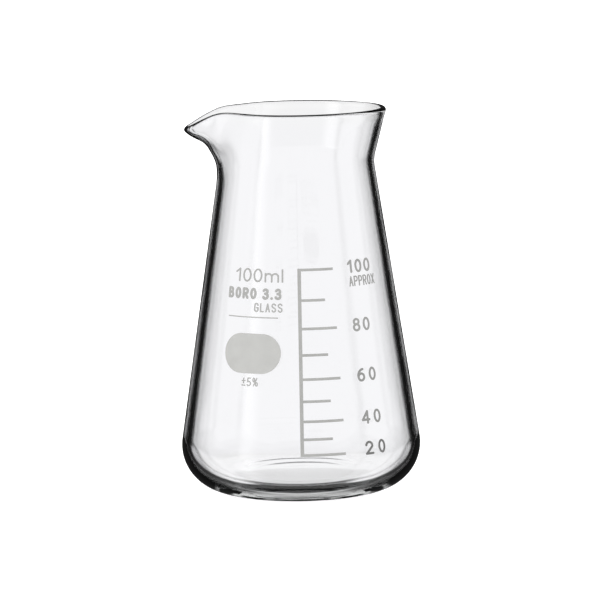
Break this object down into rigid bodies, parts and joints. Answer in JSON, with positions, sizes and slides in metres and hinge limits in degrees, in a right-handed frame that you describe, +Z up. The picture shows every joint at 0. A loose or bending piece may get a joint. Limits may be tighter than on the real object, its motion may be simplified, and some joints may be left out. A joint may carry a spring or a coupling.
{
  "type": "conical beaker with spout",
  "caption": "Clear glass conical beaker with a rounded heel, a narrow neck, a flared rim drawn out into a pouring spout, and a printed volume scale with numerals.",
  "frame": {"origin": "on the table, at the centre of the foot", "axes": "+Z up along the vessel's axis; the spout points along -X; the printed scale faces -Y"},
  "size_m": [0.0594, 0.0594, 0.095],
  "materials": {
    "borosilicate_glass": "clear, fire-polished",
    "enamel_print": "fired-on white enamel, satin"
  },
  "bodies": {
    "root": {"glass_vessel": "borosilicate_glass", "graduation_ladder": "enamel_print", "marking_spot": "enamel_print", "legend_rule": "enamel_print", "numeral_100": "enamel_print", "numeral_80": "enamel_print", "numeral_60": "enamel_print", "numeral_40": "enamel_print", "numeral_20": "enamel_print", "approx_legend": "enamel_print", "capacity_legend": "enamel_print", "material_legend": "enamel_print", "glass_legend": "enamel_print", "tolerance_legend": "enamel_print"}
  },
  "joints": []
}
